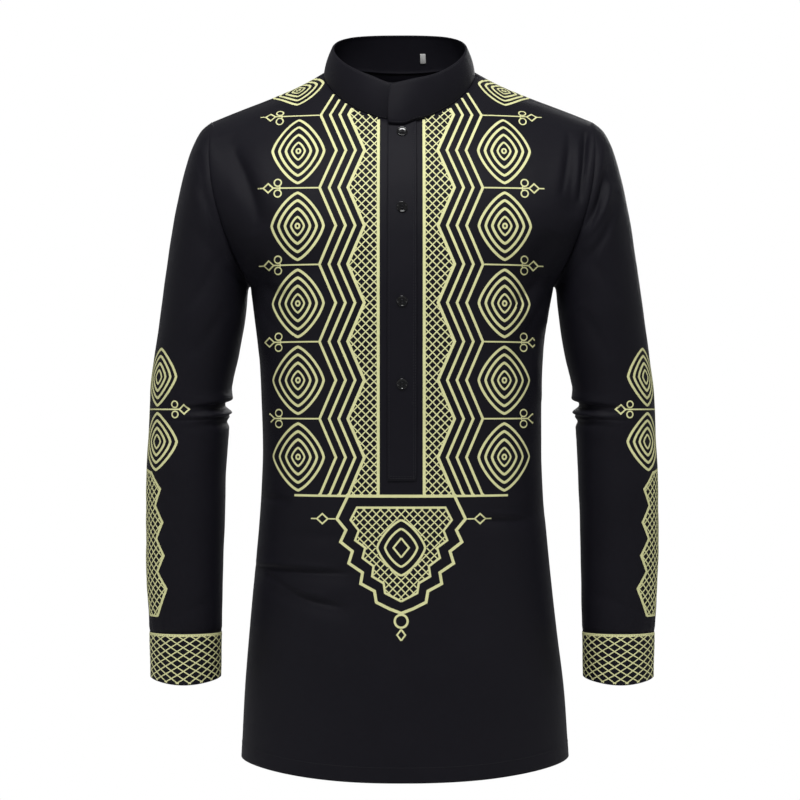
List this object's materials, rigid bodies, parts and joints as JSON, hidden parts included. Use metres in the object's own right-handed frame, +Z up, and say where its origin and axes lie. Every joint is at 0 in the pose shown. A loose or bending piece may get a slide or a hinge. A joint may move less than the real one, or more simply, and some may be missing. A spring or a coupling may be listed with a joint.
{
  "type": "long-sleeve shirt",
  "caption": "Long-sleeve pullover shirt with a band collar, buttoned half placket, cuffs and a level hem, filled out and hollow as if worn.",
  "frame": {"origin": "midway between the two side neck points, at the height where collar and shoulder seams meet, where the wearer holds the shirt up", "axes": "+Z up along the wearer's spine, -Y out of the shirt's front, +X towards the wearer's left"},
  "size_m": [0.5788, 0.2475, 0.8332],
  "materials": {
    "black_cloth": "very dark navy black, smooth plain weave with a slight sheen",
    "cuff_cloth": "the same black cloth, printed with a fine yellow-green diamond trellis",
    "line_print": "matt yellow-green printed lines",
    "dark_resin": "glossy black resin",
    "grey_tape": "blank grey-white woven tape"
  },
  "bodies": {
    "root": {"front": "black_cloth", "back": "black_cloth", "sleeve_left": "black_cloth", "sleeve_right": "black_cloth", "cuff_left": "cuff_cloth", "cuff_right": "cuff_cloth", "collar_band": "black_cloth", "placket_under": "black_cloth", "placket_upper": "black_cloth", "button_1": "dark_resin", "button_2": "dark_resin", "button_3": "dark_resin", "button_4": "dark_resin", "neck_label": "grey_tape"}
  },
  "joints": []
}
